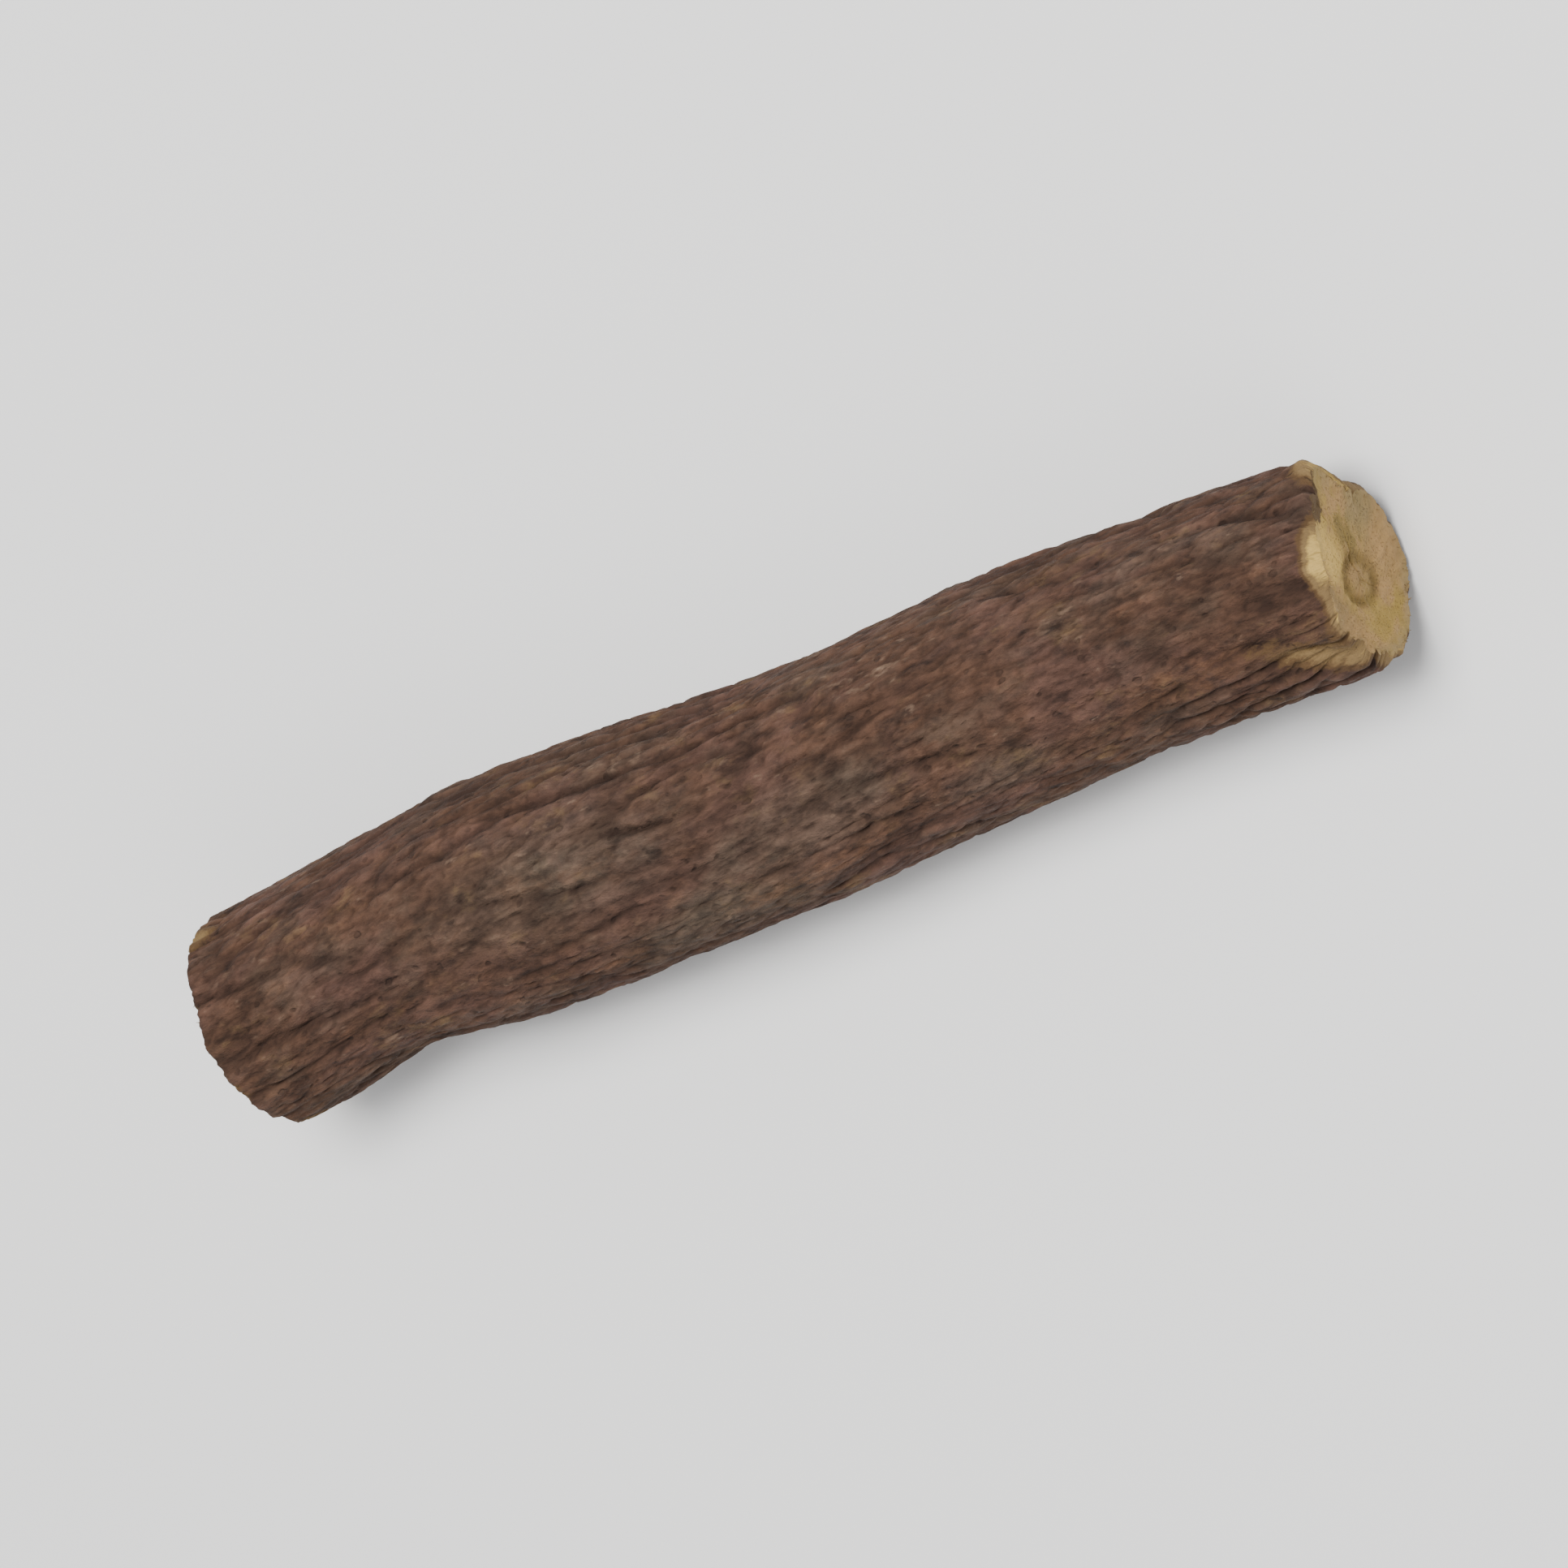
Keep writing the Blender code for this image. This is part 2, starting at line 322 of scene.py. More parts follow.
def rim_loss(share, angle):
    """How much is gone near a cut, where its rim is rounded or broken away."""
    loss = RIM_ROUND
    for middle, arc, size in NEAR_BREAKS if share > 0.5 else FAR_BREAKS:
        loss += size * bump(turn_between(angle, middle), arc)
    width, size = RIM_JAGS
    loss += size * grain_noise(math.copysign(LENGTH / 2, share - 0.5), angle, width, width)
    end_gap = min(share, 1 - share) * LENGTH
    return loss * max(1 - end_gap / loss, 0.0) ** RIM_CURVE


def rubbed_rim(share, angle):
    """How much more bark is rubbed off close to a rim, in millimetres."""
    behind = min(share, 1 - share) * LENGTH
    rubbed = 0.0
    for middle, arc, reach, gone in NEAR_BARED if share > 0.5 else FAR_BARED:
        rubbed = max(rubbed, gone * bump(turn_between(angle, middle), arc) * bump(behind, reach))
    return rubbed


def cracks_at(angle, rho):
    """How deep the drying cracks of a cut face are here, as a share."""
    deepest = 0.0
    for middle, reach in CRACKS:
        off = abs(turn_between(angle, middle)) * rho * GIRTH
        open_here = max(1 - rho / reach, 0.0) ** 0.5
        deepest = max(deepest, open_here * bump(off, CRACK_WIDTH))
    return deepest


def face_relief(rho, angle, y, z, end):
    """How far a cut face stands out along the root, at a share of the radius."""
    grain, height = FACE_ROUGH
    rough = height * noise.noise(Vector((y / grain, z / grain, 0.0)))
    oval = rho * math.hypot(CORE_OVAL[0] * math.cos(angle), CORE_OVAL[1] * math.sin(angle))
    ring = CORE_RING_DEPTH * bump(oval - CORE_RING, CORE_RING_WIDTH)
    form = rough - ring - FACE_DISH * (1 - rho**2)

    fibre, rise = FACE_FIBRES
    fibres = rise * noise.noise(Vector((y / fibre, z / fibre, end * FACES_APART)))
    spacing, mark, turned = SAW_MARKS
    across_saw = (y * math.cos(turned) + z * math.sin(turned)) / spacing
    waver, size = SAW_WAVER
    wavering = waver * noise.noise(Vector((y, z, 0)) / size)
    saw = mark * math.sin(2 * math.pi * across_saw + wavering)
    return form + fibres + saw - CRACK_DEPTH * cracks_at(angle + CRACKS_TURN * (1 - end), rho)


def spread_over(places, x, angle):
    """How strongly the nearest of some patches covers this point, from 0 to 1."""
    strongest = 0.0
    for share, degrees, long, wide in places:
        ahead = x - (share - 0.5) * LENGTH
        turn = turn_between(angle + GRAIN_WIND * ahead, math.radians(degrees))
        along, across = ahead / (long * MM), GIRTH * turn / (wide * MM)
        strongest = max(strongest, math.exp(-(along**2) - across**2))
    return strongest


# What root_point tells the finishes about each place
MARKS = ("ridge", "fine_ridge", "bared", "scar", "lip")


def root_point(share, angle, rho):
    """A point of the root, the marks of its finish in the order of MARKS, and what is gone."""
    x = (share - 0.5) * LENGTH
    step = 0.5 / (len(SIDE_BEND) - 1)
    ahead, behind = min(share + step, 1.0), max(share - step, 0.0)
    rise = along_stations(SIDE_BEND, ahead) - along_stations(SIDE_BEND, behind)
    heading = math.atan2(rise, (ahead - behind) * LENGTH)
    near, far = share**LEAN_REACH, (1 - share) ** LEAN_REACH

    bark, ridge, fine_ridge = bark_relief(x, angle)
    warts, scar = scar_relief(x, angle)
    chip, loss, splinter = chip_relief(x, angle), rim_loss(share, angle), splinter_relief(x, angle)
    out = (bark + waist_relief(x, angle) + warts + splinter - chip - loss) * rho**RELIEF_FADE
    wide = rho * along_stations(HALF_WIDTH, share) + out
    tall = rho * along_stations(HALF_HEIGHT, share)
    tall = tall * (1 - NEAR_NARROWS * near * math.cos(angle)) + out
    across = wide * math.cos(angle) + CORE_PLACE[0] * (1 - rho**2)
    up = tall * math.sin(angle) + CORE_PLACE[1] * (1 - rho**2)

    end = 1 if share > 0.5 else -1
    face = face_relief(rho, angle, across, up, end) if rho < 1 else 0.0
    lean_y = near * NEAR_LEAN[0] + far * FAR_LEAN[0]
    lean_z = near * NEAR_LEAN[1] + far * FAR_LEAN[1]
    middle = along_stations(HALF_HEIGHT, share) + along_stations(CLEARANCE, share) - FLAT_DEPTH
    place = (
        x - across * math.sin(heading) + lean_y * across + lean_z * up + (near - far) * face,
        along_stations(SIDE_BEND, share) + across * math.cos(heading),
        max(middle + up, 0.0),
    )
    lip = near * bump(turn_between(angle, BARK_LIP[0]), BARK_LIP[1])
    bared = min(loss / MM, RIM_PALES) * (1 - lip)
    bared = max(bared, CHIP_PALES * math.sqrt(chip / CHIP[2]), SPLINTER_PALES * splinter / MM)
    bared += rubbed_rim(share, angle)
    return place, (ridge, fine_ridge, bared, scar, lip * BARK_LIP[2]), loss + chip


# Meshes

def deselect_all():
    bpy.ops.object.select_all(action="DESELECT")


def active_object(name):
    """The object that was just added or joined, under its own name."""
    made = bpy.context.object
    made.name = name
    made.data.name = name
    return made


def upright(edge):
    """Whether an edge of the cylinder runs along it, in its height or in one band's."""
    return abs(edge.verts[0].co.z - edge.verts[1].co.z) > 0.5 / BANDS


def ringed_cylinder(name):
    """A unit cylinder along Z with rings along its side and rings in its two ends."""
    deselect_all()
    bpy.ops.mesh.primitive_cylinder_add(vertices=AROUND, radius=1.0, depth=1.0)
    cylinder = active_object(name)
    bpy.ops.object.mode_set(mode="EDIT")
    bpy.ops.mesh.select_mode(type="EDGE")
    for pieces in (BANDS, RINGS_IN_BAND):
        bpy.ops.mesh.select_all(action="DESELECT")
        bm = bmesh.from_edit_mesh(cylinder.data)
        for edge in bm.edges:
            edge.select = upright(edge)
        bmesh.update_edit_mesh(cylinder.data)
        bpy.ops.mesh.subdivide(number_cuts=pieces - 1)

    bpy.ops.mesh.select_mode(type="FACE")
    bpy.ops.mesh.select_all(action="DESELECT")
    bm = bmesh.from_edit_mesh(cylinder.data)
    for face in bm.faces:
        face.select = len(face.verts) == AROUND
    bmesh.update_edit_mesh(cylinder.data)
    before = 1.0
    for ring in FACE_RINGS + CORE_RINGS:
        bpy.ops.mesh.inset(thickness=before - ring, use_even_offset=False)
        before = ring
    bpy.ops.mesh.poke()
    bpy.ops.object.mode_set(mode="OBJECT")
    for face in cylinder.data.polygons:
        face.material_index = BARK_SLOT if abs(face.normal.z) < 0.5 else WOOD_SLOT
    return cylinder


def add_attribute(mesh, name, kind, values):
    """Stores a value for each vertex, which the finishes read by its name."""
    attribute = mesh.attributes.new(name, kind, "POINT")
    field = "vector" if kind == "FLOAT_VECTOR" else "value"
    attribute.data.foreach_set(field, np.asarray(values, np.float32).ravel())


def crowded_to_the_cuts(share):
    """Draws the rings of the bark together towards the two cuts."""
    return share + RINGS_CROWD * (0.5 - 0.5 * math.cos(math.pi * share) - share)


def bark_grain(x, wound):
    """A place on the bark in millimetres, as its patterns read it."""
    girth = GIRTH / MM
    return (x / MM, girth * math.cos(wound), girth * math.sin(wound))


def cut_place(x, angle, rho):
    """A place on a cut face in shares of the radius, with rho below 0 on the far face."""
    return (rho * math.cos(angle), rho * math.sin(angle), math.copysign(rho, x))


def bark_wear(x, angle):
    """How worn, how grey and how rusty the bark is at a place."""
    return [spread_over(patches, x, angle) for patches in (WORN, GREYED, RUSTY)]


def licorice_root():
    """The whole root, closed, and the middle of its box before it is put at the origin."""
    root = ringed_cylinder("licorice_root_stick")
    mesh = root.data
    places, grain, disc, marks, wear = [], [], [], [], []
    for vert in mesh.vertices:
        share = min(max(crowded_to_the_cuts(vert.co.z + 0.5), 0.0), 1.0)
        rho = min(math.hypot(vert.co.x, vert.co.y), 1.0)
        x = (share - 0.5) * LENGTH
        wound = math.atan2(vert.co.y, vert.co.x)
        angle = wound - GRAIN_WIND * x
        place, mark, gone = root_point(share, angle, rho)
        places.append(place)
        marks.append(mark)
        grain.append(bark_grain(x, wound))
        disc.append(cut_place(x, angle, rho - gone * rho**RELIEF_FADE / GIRTH))
        wear.append(bark_wear(x, angle))

    places = np.array(places)
    middle = (places.min(axis=0) + places.max(axis=0)) / 2
    middle[2] = 0.0
    mesh.vertices.foreach_set("co", (places - middle).ravel())
    add_attribute(mesh, "grain", "FLOAT_VECTOR", grain)
    add_attribute(mesh, "disc", "FLOAT_VECTOR", disc)
    add_attribute(mesh, "wear", "FLOAT_VECTOR", wear)
    for name, values in zip(MARKS, zip(*marks)):
        add_attribute(mesh, name, "FLOAT", values)
    mesh.update()
    bpy.ops.object.shade_smooth_by_angle(angle=SHARP_FROM)
    return root, Vector(middle)


def torn_fibres(end, count, rng, box_middle):
    """Thin fibres that the saw left standing at the rim of a cut face, joined into one piece."""
    deselect_all()
    foot_radius = FIBRE_THICK / 2
    bpy.ops.mesh.primitive_cone_add(
        vertices=FIBRE_SIDES, radius1=foot_radius, radius2=foot_radius * FIBRE_TAPER, depth=1.0
    )
    pattern = active_object("torn_fibre")
    fibres = []
    for _ in range(count):
        angle = rng.uniform(-math.pi, math.pi)
        rho = rng.uniform(*FIBRE_PLACE)
        foot = Vector(root_point(0.5 + end * 0.5, angle, rho)[0]) - box_middle
        outward = Vector((0.0, math.cos(angle), math.sin(angle)))
        sideways = Vector((0.0, -math.sin(angle), math.cos(angle)))
        lean = outward * rng.uniform(*FIBRE_OUTWARD) + sideways * rng.uniform(*FIBRE_SIDEWAYS)
        heading = (Vector((end, 0.0, 0.0)) + lean).normalized()
        length = rng.uniform(*FIBRE_LENGTH)
        fibre = pattern.copy()
        fibre.data = pattern.data.copy()
        bpy.context.collection.objects.link(fibre)
        fibre.rotation_euler = heading.to_track_quat("Z", "Y").to_euler()
        fibre.scale = (1.0, 1.0, length)
        fibre.location = foot + heading * (length / 2 - FIBRE_SUNK)
        fibres.append(fibre)
    bpy.data.objects.remove(pattern)
    deselect_all()
    for fibre in fibres:
        fibre.select_set(True)
    bpy.context.view_layer.objects.active = fibres[0]
    bpy.ops.object.join()
    joined = active_object("near_rim_fibres" if end > 0 else "far_rim_fibres")
    bpy.ops.object.transform_apply(location=True, rotation=True, scale=True)
    bpy.ops.object.shade_smooth()
    return joined


# Shader expressions

SPECULAR = 0.25  # everything here is dull


class Shade:
    """A node's socket. Arithmetic on it adds Math nodes to its material."""

    def __init__(self, finish, socket):
        self.finish = finish
        self.socket = socket

    def math(self, operation, *values):
        sockets = dict(enumerate(values))
        return self.finish.node("ShaderNodeMath", {"operation": operation}, sockets)

    def __add__(self, other):
        return self.math("ADD", self, other)

    def __sub__(self, other):
        return self.math("SUBTRACT", self, other)

    def __mul__(self, other):
        return self.math("MULTIPLY", self, other)

    def __rsub__(self, other):
        return self.math("SUBTRACT", other, self)

    __radd__ = __add__
    __rmul__ = __mul__

    def __abs__(self):
        return self.math("ABSOLUTE", self)

    def between(self, low, high):
        """0 at low and 1 at high, with a smooth step from one to the other."""
        return self.finish.node(
            "ShaderNodeMapRange",
            {"interpolation_type": "SMOOTHSTEP", "clamp": True},
            {"Value": self, "From Min": low, "From Max": high},
        )


class Finish:
    """A material, built node by node."""

    def __init__(self, name):
        self.material = bpy.data.materials.new(name)
        self.material.use_nodes = True
        self.tree = self.material.node_tree
        self.shader = self.tree.nodes["Principled BSDF"]
        self.shader.inputs["Specular IOR Level"].default_value = SPECULAR

    def node(self, kind, settings=None, sockets=None, output=0):
        """Adds a node: first its settings, then its sockets' values or links."""
        made = self.tree.nodes.new(kind)
        for name, value in (settings or {}).items():
            setattr(made, name, value)
        for name, value in (sockets or {}).items():
            self.feed(made.inputs[name], value)
        return Shade(self, made.outputs[output])

    def feed(self, socket, value):
        if isinstance(value, Shade):
            self.tree.links.new(value.socket, socket)
        elif socket.type == "RGBA" and len(value) == 3:
            socket.default_value = (*value, 1.0)
        else:
            socket.default_value = value

    def mark(self, name):
        """A number stored on the mesh."""
        return self.node("ShaderNodeAttribute", {"attribute_name": name}, output="Fac")

    def mark_vector(self, name):
        return self.node("ShaderNodeAttribute", {"attribute_name": name}, output="Vector")

    def parts_of(self, vector):
        split = self.node("ShaderNodeSeparateXYZ", None, {"Vector": vector})
        outputs = split.socket.node.outputs
        return [Shade(self, socket) for socket in outputs]

    def pattern(self, vector, along, across, detail, seed, roughness=0.62):
        """Noise from 0 to 1 with its own seed, drawn out by unlike scales along and across."""
        place = self.node(
            "ShaderNodeVectorMath",
            {"operation": "MULTIPLY"},
            {0: vector, 1: (along, across, across)},
        )
        return self.node(
            "ShaderNodeTexNoise",
            {"noise_dimensions": "4D"},
            {"Vector": place, "W": seed, "Scale": 1.0, "Detail": detail, "Roughness": roughness},
        )

    def mix(self, share, first, second, blend="MIX"):
        """One colour into another, by a share of 0 to 1."""
        return self.node(
            "ShaderNodeMix",
            {"data_type": "RGBA", "blend_type": blend, "clamp_factor": True},
            {0: share, 6: first, 7: second},
            output=2,
        )

    def surface(self, colour, roughness, height, depth):
        """Gives the shader its colour, roughness and a bump of a real depth in metres."""
        normal = self.node("ShaderNodeBump", None, {"Height": height, "Distance": depth})
        self.feed(self.shader.inputs["Base Color"], colour)
        self.feed(self.shader.inputs["Roughness"], roughness)
        self.feed(self.shader.inputs["Normal"], normal)
        return self.material


# Colours, as linear values
BARK_BROWN = (0.070, 0.035, 0.021)
BARK_MAUVE = (0.077, 0.039, 0.027)
BARK_GREY = (0.072, 0.051, 0.035)
BARK_RUST = (0.106, 0.050, 0.024)
BARK_OCHRE = (0.120, 0.076, 0.032)
# The next colour is painted shade for the furrows, and also the colour of the dark pits
BARK_SHADE_AND_PIT = (0.022, 0.011, 0.007)
# The next colour is the pale of rubbed bark, and also painted highlight on the ridge tops
BARK_PALE_AND_HIGHLIGHT = (0.180, 0.116, 0.077)
BARK_CINNAMON = (0.096, 0.054, 0.022)
BARED_TAN = (0.188, 0.120, 0.051)
WOOD_CREAM = (0.56, 0.375, 0.108)
WOOD_YELLOW = (0.335, 0.222, 0.056)
WOOD_PINK = (0.345, 0.210, 0.084)
WOOD_TAN = (0.265, 0.170, 0.072)
WOOD_BAST = (0.275, 0.200, 0.096)
WOOD_SHADE = (0.242, 0.176, 0.080)
WOOD_OLIVE = (0.125, 0.080, 0.020)
WOOD_SMEAR = (0.215, 0.145, 0.045)
WOOD_DARK = (0.085, 0.050, 0.024)
CORK_BROWN = (0.075, 0.043, 0.020)

# Stains of the cut faces: place in Y and Z and reach, as shares of the radius, and colour
WOOD_STAINS = (
    ((-0.38, 0.68), 0.34, WOOD_TAN),
    ((-0.62, 0.42), 0.30, WOOD_PINK),
    ((0.12, -0.60), 0.40, WOOD_PINK),
    ((-0.55, -0.12), 0.30, WOOD_YELLOW),
    ((0.60, -0.37), 0.32, WOOD_SHADE),
    ((0.24, 0.58), 0.30, WOOD_CREAM),
    ((0.37, 0.04), 0.16, WOOD_SMEAR),
)

# The bark's patterns: noise cells a millimetre along and across the grain, detail, seed
TINT_DRIFT = (0.14, 0.24, 3, 1.0)
GREY_DRIFT = (0.19, 0.32, 4, 2.0)
RUST_DRIFT = (0.30, 0.58, 4, 3.0)
OCHRE_DRIFT = (0.34, 0.52, 4, 3.5)
BLOTCHES = (0.48, 1.05, 3, 4.0)
CRINKLES = (0.85, 2.1, 3, 5.0)
THREADS = (2.3, 4.8, 3, 6.0)
FLECKS = (0.95, 2.4, 2, 7.0)
PITS = (1.1, 1.7, 1, 8.0)
DUST = (7.0, 9.0, 2, 9.0)

# The cut faces' patterns: noise cells a radius both ways, detail, seed
UNEVEN = (1.7, 1.7, 3, 1.0)
UNEVEN_ROUGHNESS = 0.55
CLOUDY = (3.6, 3.6, 3, 2.0)
RAYS = (1.0, 1.0, 3, 3.0)
RAYS_ROUND = 9.0  # noise cells of the rays for each radian round the core
GRIT = (26.0, 26.0, 3, 4.0)
PORES = (44.0, 44.0, 1, 5.0)

# The torn fibres' pattern: noise cells a metre both ways, detail, seed
FIBRE_CHANGE = (2.0 / MM, 2.0 / MM, 2, 1.0)

# How deep the finest relief is, which the finishes raise by bump, and how rough they are
BARK_GRAIN_DEPTH = 0.22 * MM
WOOD_GRAIN_DEPTH = 0.12 * MM
FIBRE_GRAIN_DEPTH = 0.01 * MM
WOOD_ROUGHNESS = 0.88
FIBRE_ROUGHNESS = 0.9


def bark_finish():
    """Dry cork, mottled mauve, grey and rust; painted shade in its furrows, painted highlights on
    its ridges.
    """
    finish = Finish("licorice_bark")
    grain = finish.mark_vector("grain")
    ridge, fine_ridge = finish.mark("ridge"), finish.mark("fine_ridge")
    worn, greyed, rusty = finish.parts_of(finish.mark_vector("wear"))

    tint_drift = finish.pattern(grain, *TINT_DRIFT)
    grey_drift = finish.pattern(grain, *GREY_DRIFT)
    rust_drift = finish.pattern(grain, *RUST_DRIFT)
    ochre_drift = finish.pattern(grain, *OCHRE_DRIFT)
    blotches = finish.pattern(grain, *BLOTCHES)
    crinkles = finish.pattern(grain, *CRINKLES)
    threads = finish.pattern(grain, *THREADS)
    flecks = finish.pattern(grain, *FLECKS)
    pits = finish.pattern(grain, *PITS)
    dust = finish.pattern(grain, *DUST)

    # Mottled cork: brown into mauve, with drifts of grey, rust and ochre
    colour = finish.mix(tint_drift.between(0.42, 0.60), BARK_BROWN, BARK_MAUVE)
    grey = grey_drift.between(0.46, 0.64) * 0.4 + greyed.between(0.1, 0.9) * 0.5
    colour = finish.mix(grey, colour, BARK_GREY)
    rust = rust_drift.between(0.52, 0.68) * 0.25 + rusty.between(0.1, 0.8) * 0.4
    colour = finish.mix(rust * crinkles.between(0.30, 0.60), colour, BARK_RUST)
    ochre = ochre_drift.between(0.55, 0.68) * crinkles.between(0.36, 0.62)
    colour = finish.mix(ochre * 0.4, colour, BARK_OCHRE)
    # Random mottling, and also painted light and shade: lighter where the bump's crinkles and
    # threads stand high, darker where they lie low
    tone = 1.0 + (blotches - 0.5) * 2.2 + (crinkles - 0.5) * 1.9 + (threads - 0.5) * 0.6
    colour = finish.mix(1.0, colour, tone, "MULTIPLY")

    # Painted shade in the furrows, dark pits, painted highlights flecked on the ridge tops, and
    # ridges rubbed pale
    furrow_shade = (1 - ridge.between(0.1, 0.95)) * 0.6 + (1 - fine_ridge.between(0.0, 0.8)) * 0.35
    pit = pits.between(0.62, 0.74)
    colour = finish.mix(furrow_shade + pit * 0.4, colour, BARK_SHADE_AND_PIT)
    raised = ridge.between(0.5, 1.0) * fine_ridge.between(0.4, 1.0)
    # Painted highlight: pale flecks only on the tops of the ridges
    ridge_highlight = flecks.between(0.60, 0.74) * raised
    rub = worn.between(0.1, 0.9) * flecks.between(0.50, 0.66) * ridge.between(0.2, 0.9)
    colour = finish.mix(ridge_highlight * 0.6 + rub * 0.55, colour, BARK_PALE_AND_HIGHLIGHT)

    # Where the bark is rubbed or broken away: first cinnamon, then tan, then cream wood
    scar = finish.mark("scar").between(0.75, 0.95) * 0.25
    bared = finish.mark("bared") + scar + (dust - 0.5) * 0.15 + (crinkles - 0.5) * 0.5
    colour = finish.mix(bared.between(0.20, 0.34) * 0.8, colour, BARK_CINNAMON)
    colour = finish.mix(bared.between(0.36, 0.54), colour, BARED_TAN)
    colour = finish.mix(bared.between(0.62, 0.88) * 0.9, colour, WOOD_CREAM)

    height = threads * 0.6 + crinkles * 0.5 + blotches * 0.2 + dust * 0.2 - pit * 0.4
    roughness = 0.92 - raised * 0.12
    return finish.surface(colour, roughness, height, BARK_GRAIN_DEPTH)


def wood_finish():
    """Sawn wood: pale uneven zones round a dark-ringed core, with faint rays and pores."""
    finish = Finish("licorice_wood")
    disc = finish.mark_vector("disc")
    y, z, signed = finish.parts_of(disc)
    rho = abs(signed)
    flat = finish.node("ShaderNodeCombineXYZ", None, {"X": y, "Y": z, "Z": 0.0})
    outward = finish.node("ShaderNodeVectorMath", {"operation": "NORMALIZE"}, {0: flat})
    ray_place = finish.node(
        "ShaderNodeVectorMath",
        {"operation": "MULTIPLY_ADD"},
        {0: outward, 1: (RAYS_ROUND, RAYS_ROUND, RAYS_ROUND), 2: disc},
    )

    uneven = finish.pattern(disc, *UNEVEN, UNEVEN_ROUGHNESS)
    cloudy = finish.pattern(disc, *CLOUDY)
    rays = finish.pattern(ray_place, *RAYS)
    grit = finish.pattern(disc, *GRIT)
    pores = finish.pattern(disc, *PORES)
    oval = finish.node(
        "ShaderNodeVectorMath", {"operation": "MULTIPLY"}, {0: flat, 1: (*CORE_OVAL, 0.0)}
    )
    core_place = finish.node("ShaderNodeVectorMath", {"operation": "LENGTH"}, {0: oval}, "Value")
    core_place = core_place + (uneven - 0.5) * 0.10
    zone = rho + (uneven - 0.5) * 0.14 + (cloudy - 0.5) * 0.12

    # Yellow and pink wood inside a greyer inner bark, with stains
    colour = finish.mix(cloudy.between(0.38, 0.62), WOOD_YELLOW, WOOD_PINK)
    inner_bark = zone.between(INNER_BARK - 0.12, INNER_BARK + 0.08)
    colour = finish.mix(inner_bark * 0.7, colour, WOOD_BAST)
    for place, reach, tint in WOOD_STAINS:
        away = finish.node(
            "ShaderNodeVectorMath", {"operation": "DISTANCE"}, {0: flat, 1: (*place, 0.0)}, "Value"
        )
        frayed = away + (uneven - 0.5) * 0.5 + (cloudy - 0.5) * 0.3
        stain = 1 - frayed.between(reach * 0.4, reach * 1.3)
        colour = finish.mix(stain * 0.85, colour, tint)

    # The core and its dark ring, pores, and the brown cork round the rim
    core = 1 - core_place.between(0.12, 0.42)
    colour = finish.mix(core * 0.45, colour, WOOD_TAN)
    ring = 1 - abs(core_place - CORE_RING).between(0.01, 0.13)
    colour = finish.mix(ring * (0.45 + cloudy.between(0.35, 0.65) * 0.4), colour, WOOD_OLIVE)
    pore = pores.between(0.58, 0.70) * (1 - inner_bark)
    colour = finish.mix(pore * 0.35, colour, WOOD_DARK)
    tone = 1.0 + (rays - 0.5) * 0.4 + (cloudy - 0.5) * 0.5 + (grit - 0.5) * 0.35
    colour = finish.mix(1.0, colour, tone, "MULTIPLY")
    lip = finish.mark("lip") * (uneven + cloudy * 1.6 - 0.3)
    cork = (rho + lip + (grit - 0.5) * 0.14).between(0.945, 0.99)
    colour = finish.mix(cork * 0.9, colour, CORK_BROWN)

    height = rays * 0.5 + grit * 0.6 - pore * 0.4
    return finish.surface(colour, WOOD_ROUGHNESS, height, WOOD_GRAIN_DEPTH)


def fibre_finish():
    """Torn bast: dull straw, darker towards some of the fibres."""
    finish = Finish("torn_bast")
    place = finish.node("ShaderNodeTexCoord", output="Object")
    change = finish.pattern(place, *FIBRE_CHANGE)
    colour = finish.mix(change.between(0.35, 0.65), BARED_TAN, WOOD_BAST)
    return finish.surface(colour, FIBRE_ROUGHNESS, change, FIBRE_GRAIN_DEPTH)


# The stick

root, box_middle = licorice_root()
root.data.materials.append(bark_finish())
root.data.materials.append(wood_finish())
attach(root, "root")
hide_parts("licorice_root")

rng = random.Random(FIBRE_SEED)
bast = fibre_finish()
for end, count in RIM_FIBRES:
    fibres = torn_fibres(end, count, rng, box_middle)
    fibres.data.materials.append(bast)
    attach(fibres, "root")


# Studio

FLOOR_RADIUS = 3.0
FLOOR_SIDES = 96
FLOOR_COLOUR = (0.90, 0.89, 0.87)
FLOOR_ROUGHNESS = 0.7
ROOM_COLOUR = (0.92, 0.95, 1.0, 1.0)
ROOM_STRENGTH = 0.45

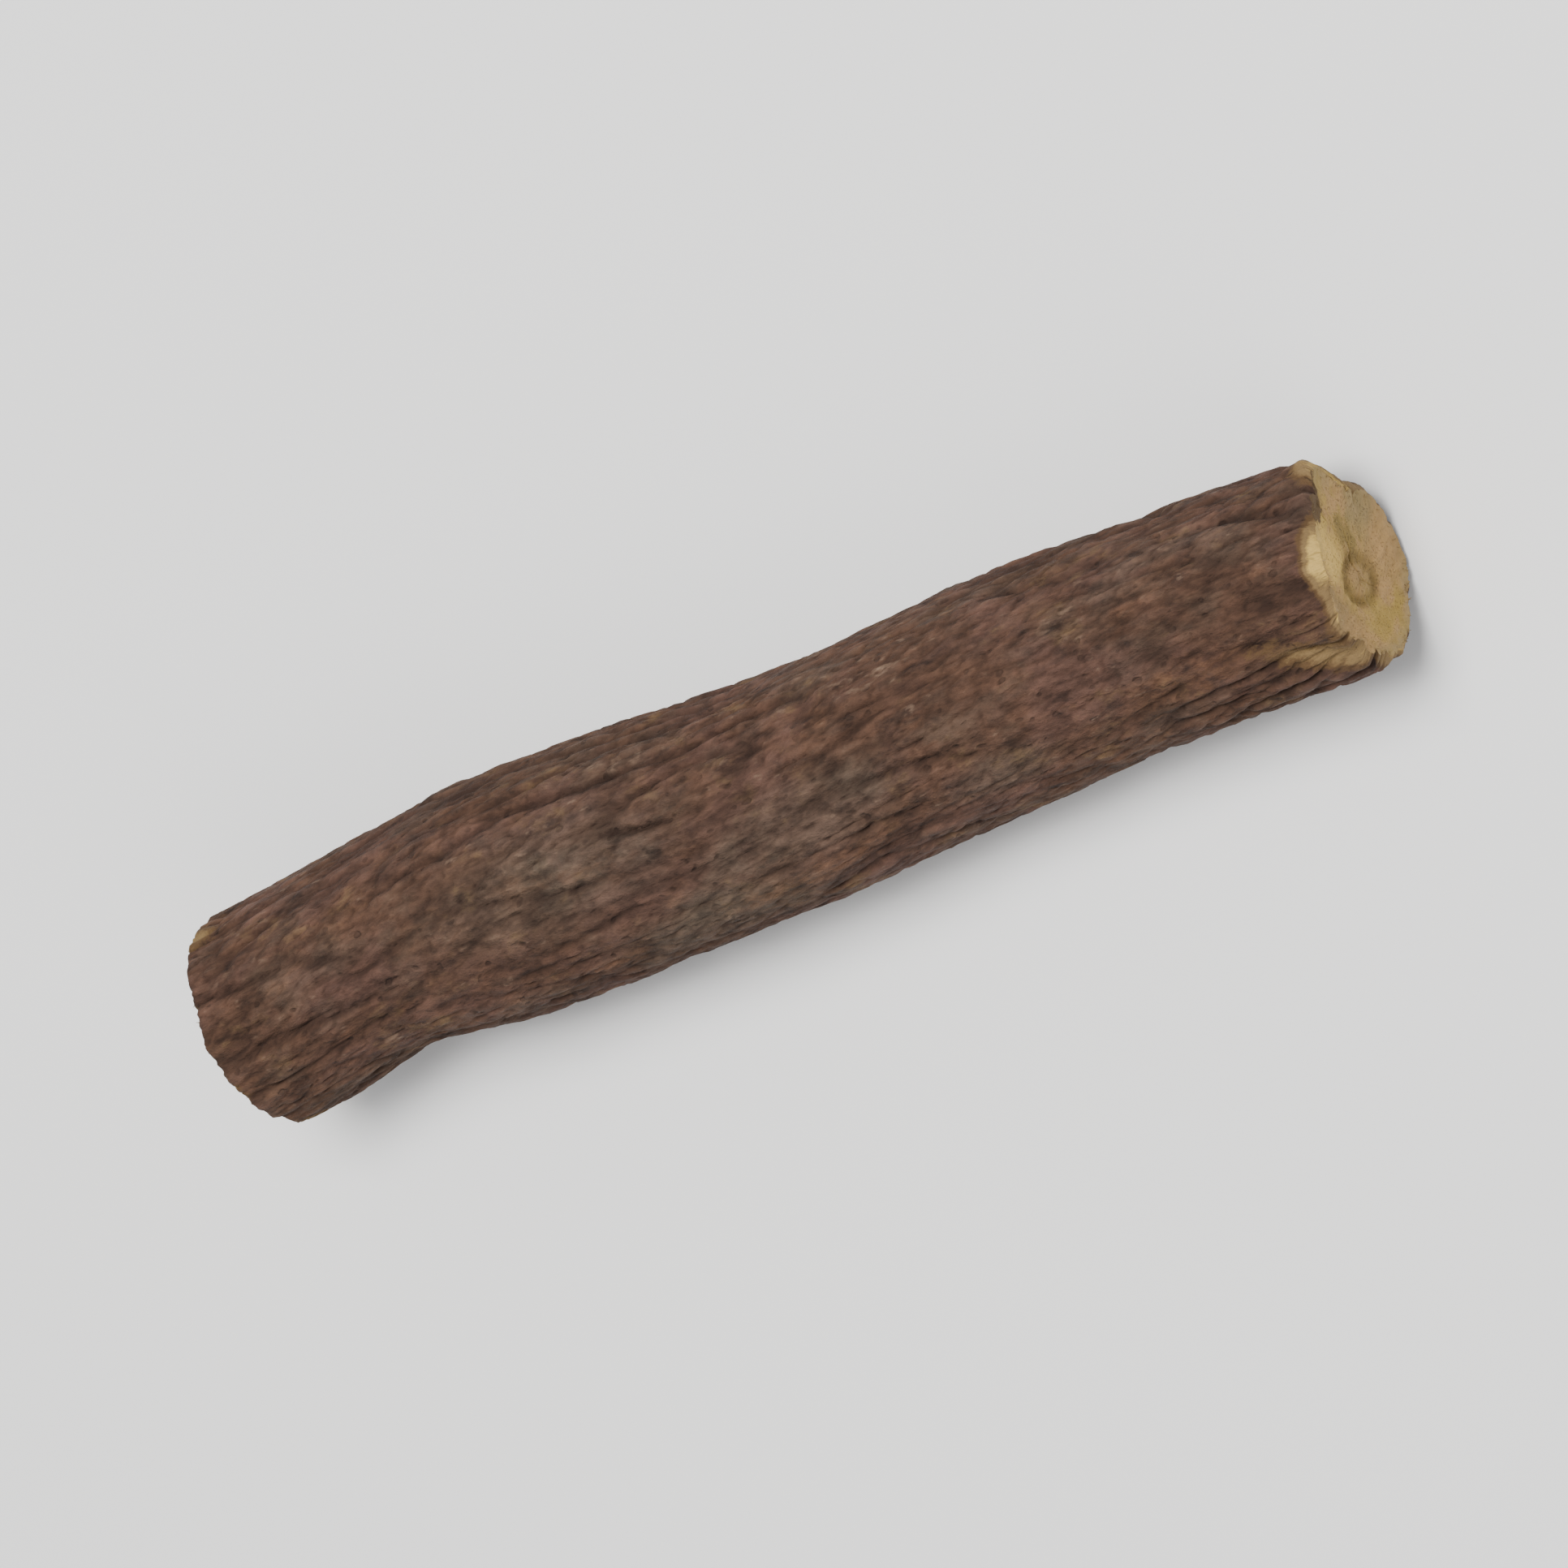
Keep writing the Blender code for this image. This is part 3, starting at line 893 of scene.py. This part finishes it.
# The lamps: name, direction from the root, distance, size and watts
LAMPS = (
    ("key_light", (0.15, 0.30, 1.0), 0.7, 0.34, 7.6),
    ("fill_light", (0.5, -0.9, 0.7), 0.9, 0.7, 2.4),
)


def pale_floor():
    deselect_all()
    bpy.ops.mesh.primitive_circle_add(vertices=FLOOR_SIDES, radius=FLOOR_RADIUS, fill_type="NGON")
    floor = active_object("floor")
    finish = Finish("pale_floor")
    finish.feed(finish.shader.inputs["Base Color"], FLOOR_COLOUR)
    finish.feed(finish.shader.inputs["Roughness"], FLOOR_ROUGHNESS)
    floor.data.materials.append(finish.material)


def soft_light(name, direction, distance, size, watts):
    """A large square lamp that faces the root from a direction."""
    deselect_all()
    place = Vector(direction).normalized() * distance
    bpy.ops.object.light_add(type="AREA", location=place)
    lamp = active_object(name)
    lamp.data.size = size
    lamp.data.energy = watts
    lamp.rotation_euler = place.to_track_quat("Z", "Y").to_euler()


def pale_room():
    world = bpy.data.worlds.new("pale_room")
    world.use_nodes = True
    background = world.node_tree.nodes["Background"]
    background.inputs["Color"].default_value = ROOM_COLOUR
    background.inputs["Strength"].default_value = ROOM_STRENGTH
    bpy.context.scene.world = world


def photo_camera():
    """A camera at the photograph's viewing angle, filled by the root."""
    back = Vector((math.cos(VIEW_ELEVATION), 0.0, math.sin(VIEW_ELEVATION)))
    along = Vector((math.sin(VIEW_ELEVATION), 0.0, -math.cos(VIEW_ELEVATION)))
    side = Vector((0.0, 1.0, 0.0))
    right = along * math.cos(VIEW_ROLL) - side * math.sin(VIEW_ROLL)
    up = along * math.sin(VIEW_ROLL) + side * math.cos(VIEW_ROLL)
    deselect_all()
    bpy.ops.object.camera_add()
    camera = active_object("photo_camera")
    low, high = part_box("licorice_root")
    turned = Matrix((right, up, back)).transposed().to_4x4()
    camera.matrix_world = Matrix.Translation((low + high) / 2 + back * VIEW_DISTANCE) @ turned
    camera.data.lens = camera.data.sensor_width * VIEW_DISTANCE / VIEW_WIDTH
    camera.data.clip_start = VIEW_NEAREST
    bpy.context.scene.camera = camera


pale_floor()
for lamp in LAMPS:
    soft_light(*lamp)
pale_room()
photo_camera()
